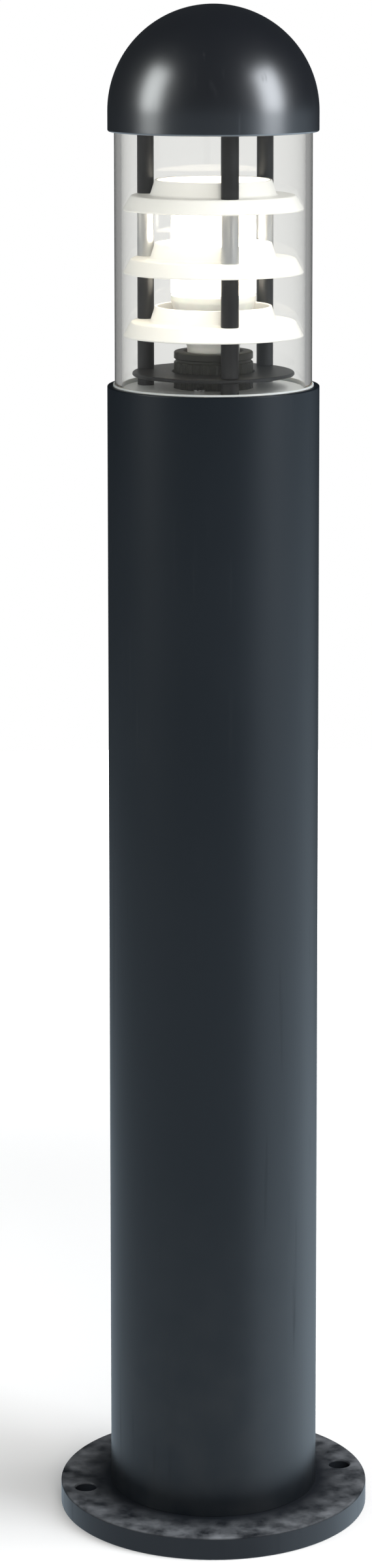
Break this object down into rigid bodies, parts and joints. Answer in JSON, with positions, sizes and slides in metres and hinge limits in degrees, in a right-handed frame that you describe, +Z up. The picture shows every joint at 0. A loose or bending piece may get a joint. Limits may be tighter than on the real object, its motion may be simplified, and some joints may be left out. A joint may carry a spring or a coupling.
{
  "type": "bollard light",
  "caption": "Garden bollard light: round post on a flange, lit lamp and louvre cage in a clear glass tube, domed cap.",
  "frame": {"origin": "centre of the base flange's underside, on the ground", "axes": "+Z up along the post; the front tie rod stands towards -Y; the anchor holes lie along X"},
  "size_m": [0.164, 0.164, 0.8],
  "materials": {
    "powder_coat_post": "fine satin powder coat",
    "powder_coat_flange": "fine satin powder coat",
    "powder_coat_cap": "semi-gloss powder coat",
    "seat_metal": "light satin paint on a die casting",
    "louvre_metal": "bright spun sheet",
    "ring_metal": "satin sheet",
    "dark_steel": "blackened",
    "bright_steel": "plain stainless",
    "sheet_steel": "zinc plated sheet",
    "brass_parts": "plain pressed brass",
    "light_silicone": "moulded, pale grey",
    "black_rubber": "moulded, black",
    "holder_plastic": "moulded, dark olive grey",
    "terminal_plastic": "moulded, natural",
    "insulation_brown": "smooth",
    "insulation_blue": "smooth",
    "insulation_green_yellow": "smooth",
    "lamp_metal": "nickel plated",
    "lamp_black": "glazed",
    "lamp_white": "smooth white",
    "lamp_opal": "opal, lit from inside",
    "board_white": "coated board",
    "clear_glass": "clear, polished"
  },
  "bodies": {
    "post": {"base_flange": "powder_coat_flange", "cable_grommet": "black_rubber", "base_set_screws": "bright_steel", "terminal_bracket": "sheet_steel", "bracket_screws": "bright_steel", "terminal_block": "terminal_plastic", "terminal_screws": "brass_parts", "lead_live": "insulation_brown", "lead_neutral": "insulation_blue", "lead_earth": "insulation_green_yellow", "post_tube": "powder_coat_post", "head_seat": "seat_metal", "seat_set_screws": "bright_steel", "earth_tag": "brass_parts", "earth_screw": "brass_parts", "lower_gasket": "light_silicone", "lampholder": "holder_plastic", "holder_shell": "brass_parts", "holder_contact": "brass_parts", "holder_screws": "bright_steel", "cage_plate": "seat_metal", "tie_rod_front": "dark_steel", "tie_rod_right": "dark_steel", "tie_rod_left": "dark_steel", "foot_spacers": "dark_steel", "low_spacers": "dark_steel", "mid_spacers": "dark_steel", "high_spacers": "dark_steel", "top_spacers": "dark_steel", "louvre_low": "louvre_metal", "louvre_mid": "louvre_metal", "louvre_high": "louvre_metal", "top_ring": "ring_metal", "rod_nuts_low": "bright_steel", "rod_washers_top": "bright_steel", "rod_nuts_top": "bright_steel"},
    "lamp_lift": {"lamp_contact": "lamp_metal"},
    "lamp": {"lamp_insulator": "lamp_black", "lamp_screw_shell": "lamp_metal", "lamp_housing": "lamp_white", "lamp_board": "board_white", "lamp_envelope": "lamp_opal"},
    "glass": {"glass_tube": "clear_glass"},
    "cap": {"cap": "powder_coat_cap", "upper_gasket": "light_silicone", "cap_set_screws": "bright_steel"}
  },
  "joints": [
    {"name": "lamp_turn", "type": "hinge", "parent": "lamp_lift", "child": "lamp", "pos_m": [0, 0, 0.62], "axis": [0, 0, 1], "range_deg": [0, 2880]},
    {"name": "lamp_rise", "type": "slide", "parent": "post", "child": "lamp_lift", "axis": [0, 0, 1], "range_m": [0, 0.0297]},
    {"name": "glass_lift", "type": "slide", "parent": "post", "child": "glass", "axis": [0, 0, 1], "range_m": [0, 0.165]},
    {"name": "cap_lift", "type": "slide", "parent": "glass", "child": "cap", "axis": [0, 0, 1], "range_m": [0, 0.06]}
  ],
  "couplings": [
    {"joint": "lamp_rise", "follows": "lamp_turn", "m_per_rad": 0.00057757}
  ]
}
